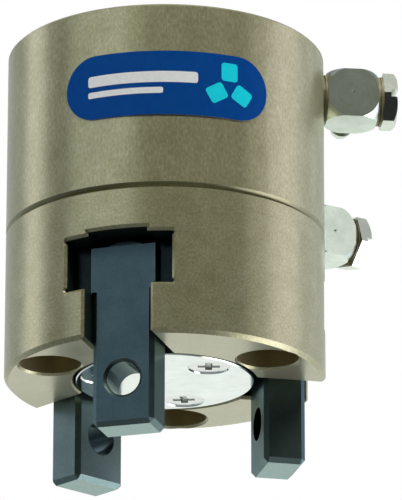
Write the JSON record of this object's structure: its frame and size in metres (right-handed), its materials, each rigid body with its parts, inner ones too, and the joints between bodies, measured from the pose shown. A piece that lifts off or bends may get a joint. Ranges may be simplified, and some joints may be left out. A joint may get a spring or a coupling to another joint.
{
  "type": "pneumatic gripper",
  "caption": "Round pneumatic angular gripper: an air cylinder whose piston swings radial steel fingers about pins, with banjo air fittings on its side.",
  "frame": {"origin": "centre of the flat top face that bolts to the robot", "axes": "+Z out of the mounting face, fingers point to -Z; finger 1 is on the -Y side and the air fittings are on the +X side"},
  "size_m": [0.0602, 0.0575, 0.0666],
  "materials": {
    "housing_anodised": "anodised, fine turned grain",
    "black_steel": "blackened, ground",
    "polished_steel": "polished",
    "screw_steel": "bright",
    "dark_screw_steel": "blackened",
    "nickel_brass": "nickel-plated",
    "fitting_seal": "satin",
    "badge_blue": "printed, glossy",
    "seal_rubber": "matt",
    "guide_plastic": "matt",
    "bronze": "turned",
    "turned_aluminium": "turned",
    "ground_steel": "ground"
  },
  "bodies": {
    "housing": {"upper_housing": "housing_anodised", "lower_housing": "housing_anodised", "housing_screws": "dark_screw_steel", "badge": "badge_blue", "end_disc": "polished_steel", "disc_screws": "screw_steel", "guide_plate": "turned_aluminium", "plate_oring": "seal_rubber", "rod_bush": "bronze", "rod_seal": "seal_rubber", "pivot_pin_1": "ground_steel", "pivot_pin_2": "ground_steel", "pivot_pin_3": "ground_steel", "pivot_blocks_1": "black_steel", "pivot_blocks_2": "black_steel", "pivot_blocks_3": "black_steel", "upper_fitting_inner_seal": "fitting_seal", "upper_fitting_body": "nickel_brass", "upper_fitting_outer_seal": "fitting_seal", "upper_fitting_screw": "nickel_brass", "lower_fitting_inner_seal": "fitting_seal", "lower_fitting_body": "nickel_brass", "lower_fitting_outer_seal": "fitting_seal", "lower_fitting_screw": "nickel_brass"},
    "piston": {"piston": "turned_aluminium", "piston_seal_upper": "seal_rubber", "piston_seal_lower": "seal_rubber", "piston_guide_ring": "guide_plastic", "piston_rod": "ground_steel", "piston_nut": "screw_steel", "drive_spool": "ground_steel", "spool_screw": "dark_screw_steel"},
    "finger_1": {"finger_1": "black_steel"},
    "finger_2": {"finger_2": "black_steel"},
    "finger_3": {"finger_3": "black_steel"}
  },
  "joints": [
    {"name": "piston_slide", "type": "slide", "parent": "housing", "child": "piston", "axis": [0, 0, -1], "range_m": [-0.00043, 0.0017]},
    {"name": "finger_1_swing", "type": "hinge", "parent": "housing", "child": "finger_1", "pos_m": [0, -0.0174, -0.0415], "axis": [-1, 0, 0], "range_deg": [-2, 8]},
    {"name": "finger_2_swing", "type": "hinge", "parent": "housing", "child": "finger_2", "pos_m": [0.01507, 0.0087, -0.0415], "axis": [0.5, -0.866, 0], "range_deg": [-2, 8]},
    {"name": "finger_3_swing", "type": "hinge", "parent": "housing", "child": "finger_3", "pos_m": [-0.01507, 0.0087, -0.0415], "axis": [0.5, 0.866, 0], "range_deg": [-2, 8]}
  ],
  "couplings": [
    {"joint": "finger_1_swing", "follows": "piston_slide", "rad_per_m": 81.967},
    {"joint": "finger_2_swing", "follows": "piston_slide", "rad_per_m": 81.967},
    {"joint": "finger_3_swing", "follows": "piston_slide", "rad_per_m": 81.967}
  ]
}
